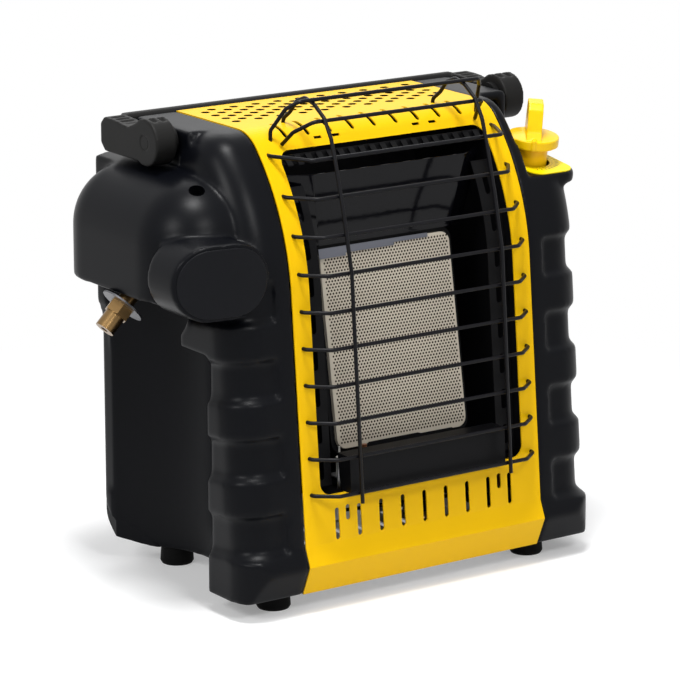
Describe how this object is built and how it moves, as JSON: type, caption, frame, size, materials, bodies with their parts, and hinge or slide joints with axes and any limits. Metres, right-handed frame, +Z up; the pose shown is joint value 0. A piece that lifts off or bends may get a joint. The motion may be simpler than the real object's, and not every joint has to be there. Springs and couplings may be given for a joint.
{
  "type": "portable propane heater",
  "caption": "Portable radiant gas heater with a ceramic burner behind a wire guard, two moulded shells, a folding handle, a control knob and a swivelling gas inlet.",
  "frame": {"origin": "on the floor at the middle of the box round the whole heater, handle folded down and inlet at rest", "axes": "+X to the right seen from the front, +Y from the front to the back, +Z up"},
  "size_m": [0.3988, 0.224, 0.3917],
  "materials": {
    "panel_yellow": "satin",
    "shell_black": "semi-gloss, moulded",
    "handle_charcoal": "satin",
    "badge_charcoal": "satin",
    "label_yellow": "printed",
    "knob_yellow": "gloss",
    "plunger_charcoal": "satin",
    "steel": "plain",
    "brass": "plain",
    "copper": "plain tube",
    "wire_black": "black coated",
    "black_enamel": "gloss",
    "plastic_black": "plain",
    "rubber": "matte",
    "ceramic": "matte"
  },
  "bodies": {
    "body": {"front_panel": "panel_yellow", "left_shell": "shell_black", "right_shell": "shell_black", "rear_panel": "wire_black", "base_plate": "steel", "rubber_feet": "rubber", "handle_pivot_pins": "steel", "badge_plate": "badge_charcoal", "dial_plate": "label_yellow", "gas_valve": "brass", "valve_bracket": "steel", "piezo_igniter": "plastic_black", "regulator": "steel", "inlet_yoke": "brass", "supply_pipe": "copper", "burner_pipe": "copper", "pilot_pipe": "copper", "burner_box": "steel", "ceramic_tile": "ceramic", "tile_clips": "steel", "venturi": "steel", "orifice_fitting": "brass", "reflector_hood": "black_enamel", "side_reflectors": "wire_black", "firebox_liner": "steel", "louvre_strip": "wire_black", "tray_bar": "wire_black", "guard_bars": "wire_black", "guard_uprights": "wire_black", "guard_top_loop": "wire_black", "pilot_bracket": "steel", "pilot_burner": "brass", "spark_electrode": "steel", "thermocouple": "copper", "ignition_lead": "plastic_black", "tilt_switch_housing": "steel", "rear_screws": "steel", "shell_screws": "steel"},
    "handle": {"handle": "handle_charcoal"},
    "plunger": {"igniter_plunger": "plunger_charcoal"},
    "knob": {"control_knob": "knob_yellow", "valve_stem": "steel"},
    "inlet": {"swivel_elbow": "brass", "gas_inlet": "brass", "inlet_washer": "plastic_black"},
    "tilt_weight": {"tilt_pendulum": "brass"}
  },
  "joints": [
    {"name": "handle_fold", "type": "hinge", "parent": "body", "child": "handle", "pos_m": [0.02336, 0.03205, 0.356], "axis": [1, 0, 0], "range_deg": [0, 95]},
    {"name": "knob_push", "type": "slide", "parent": "body", "child": "plunger", "axis": [0, -0.1392, 0.9903], "range_m": [-0.004, 0], "stiffness_N_per_m": 300, "springref_m": 0.0005},
    {"name": "knob_turn", "type": "hinge", "parent": "plunger", "child": "knob", "pos_m": [0.17336, -0.02895, 0.313], "axis": [0, -0.1392, 0.9903], "range_deg": [0, 180]},
    {"name": "inlet_swivel", "type": "hinge", "parent": "body", "child": "inlet", "pos_m": [-0.15665, 0.02705, 0.253], "axis": [0, -1, 0], "range_deg": [0, 50]},
    {"name": "tilt_swing", "type": "hinge", "parent": "body", "child": "tilt_weight", "pos_m": [0.02336, 0.05905, 0.0522], "axis": [1, 0, 0], "range_deg": [-20, 20]}
  ]
}
